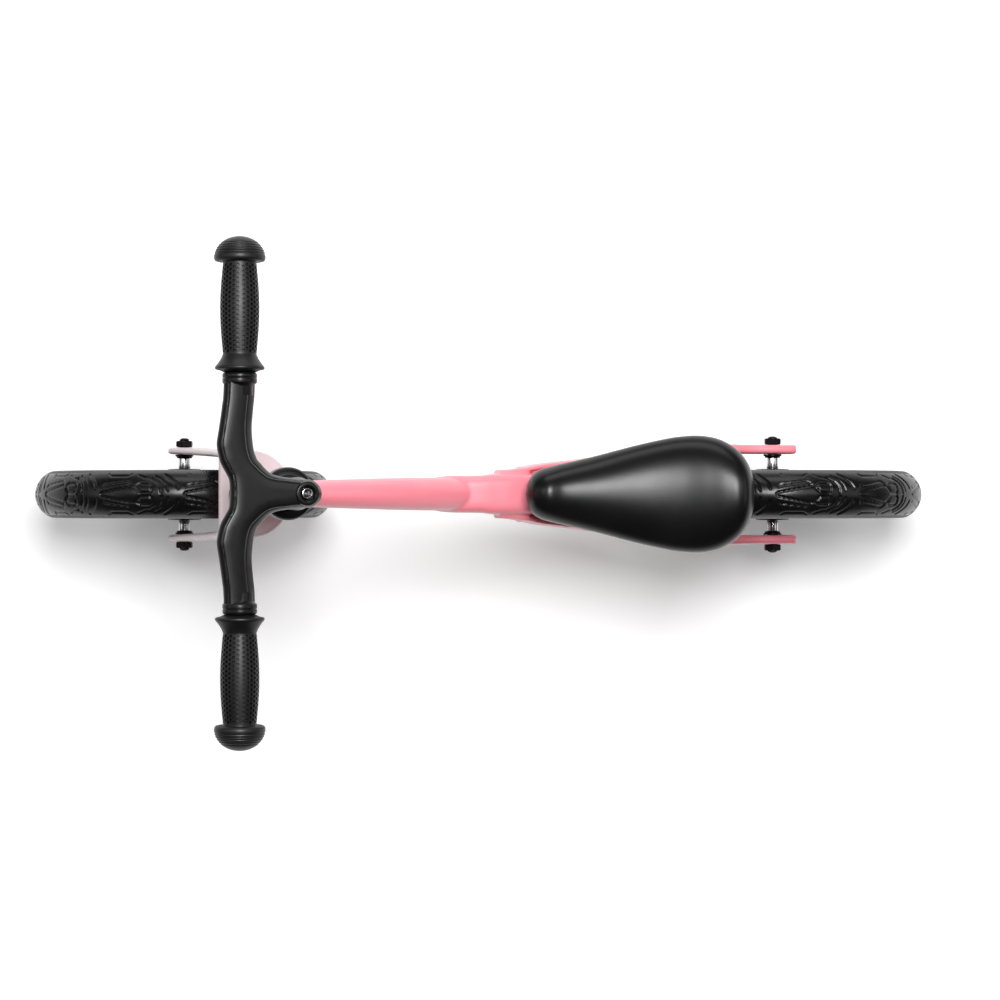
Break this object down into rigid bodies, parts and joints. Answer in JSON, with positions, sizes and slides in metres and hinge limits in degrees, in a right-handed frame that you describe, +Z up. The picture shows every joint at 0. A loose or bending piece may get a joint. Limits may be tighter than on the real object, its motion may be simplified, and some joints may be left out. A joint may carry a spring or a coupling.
{
  "type": "balance bike",
  "caption": "Child's balance bike with a step-through frame, foam tyres on spoked rims, bowed T handlebar with soft grips, and a teardrop seat; no pedals, chain or brakes",
  "frame": {"origin": "on the ground, midway between the axles, on the bike's centre line", "axes": "+X the way it rides, +Y the rider's left, +Z up"},
  "size_m": [0.8516, 0.42, 0.558],
  "materials": {
    "pink_frame": "satin powder coat",
    "pale_fork": "satin paint",
    "black_plastic": "satin moulded plastic",
    "black_bar": "satin black coating",
    "grip": "soft matt grip",
    "tyre": "semi-gloss foam",
    "rim": "satin nylon",
    "seat_skin": "satin integral skin foam",
    "black_steel": "black plated",
    "bright_steel": "polished"
  },
  "bodies": {
    "frame": {"frame": "pink_frame", "headset_cup_upper": "black_steel", "headset_cup_lower": "black_steel", "seat_clamp": "black_plastic", "seat_clamp_bolt": "black_steel", "rear_axle": "black_steel", "rear_spacer_left": "bright_steel", "rear_spacer_right": "bright_steel", "rear_washer_left": "black_steel", "rear_washer_right": "black_steel", "rear_nut_left": "black_steel", "rear_nut_right": "black_steel"},
    "steering": {"fork": "pale_fork", "steerer_tube": "bright_steel", "crown_race": "bright_steel", "headset_bearing_lower": "bright_steel", "headset_bearing_upper": "bright_steel", "headset_race_nut": "bright_steel", "headset_locknut": "black_steel", "headset_cover": "black_plastic", "front_axle": "black_steel", "front_spacer_left": "bright_steel", "front_spacer_right": "bright_steel", "front_washer_left": "black_steel", "front_washer_right": "black_steel", "front_nut_left": "black_steel", "front_nut_right": "black_steel"},
    "handlebar": {"handlebar": "black_bar", "quill_tube": "bright_steel", "quill_wedge": "bright_steel", "stem_bolt": "bright_steel", "grip_left": "grip", "grip_right": "grip"},
    "front_wheel": {"front_tyre": "tyre", "front_rim": "rim", "front_hub": "rim", "front_bearing_left": "bright_steel", "front_bearing_right": "bright_steel", "front_bearing_sleeve": "bright_steel"},
    "rear_wheel": {"rear_tyre": "tyre", "rear_rim": "rim", "rear_hub": "rim", "rear_bearing_left": "bright_steel", "rear_bearing_right": "bright_steel", "rear_bearing_sleeve": "bright_steel"},
    "seat": {"seat_post": "bright_steel", "seat_base": "black_plastic", "seat_pad": "seat_skin", "seat_bolt_front_left": "black_steel", "seat_bolt_front_right": "black_steel", "seat_bolt_rear_left": "black_steel", "seat_bolt_rear_right": "black_steel"}
  },
  "joints": [
    {"name": "steering", "type": "hinge", "parent": "frame", "child": "steering", "pos_m": [0.18226, 0, 0.39712], "axis": [-0.3256, 0, 0.9455], "continuous": true},
    {"name": "handlebar_height", "type": "slide", "parent": "steering", "child": "handlebar", "axis": [-0.3256, 0, 0.9455], "range_m": [0, 0.035]},
    {"name": "front_wheel_spin", "type": "hinge", "parent": "steering", "child": "front_wheel", "pos_m": [0.2838, 0, 0.142], "axis": [0, 1, 0], "continuous": true},
    {"name": "rear_wheel_spin", "type": "hinge", "parent": "frame", "child": "rear_wheel", "pos_m": [-0.2838, 0, 0.142], "axis": [0, 1, 0], "continuous": true},
    {"name": "seat_height", "type": "slide", "parent": "frame", "child": "seat", "axis": [-0.2588, 0, 0.9659], "range_m": [0, 0.06]}
  ]
}
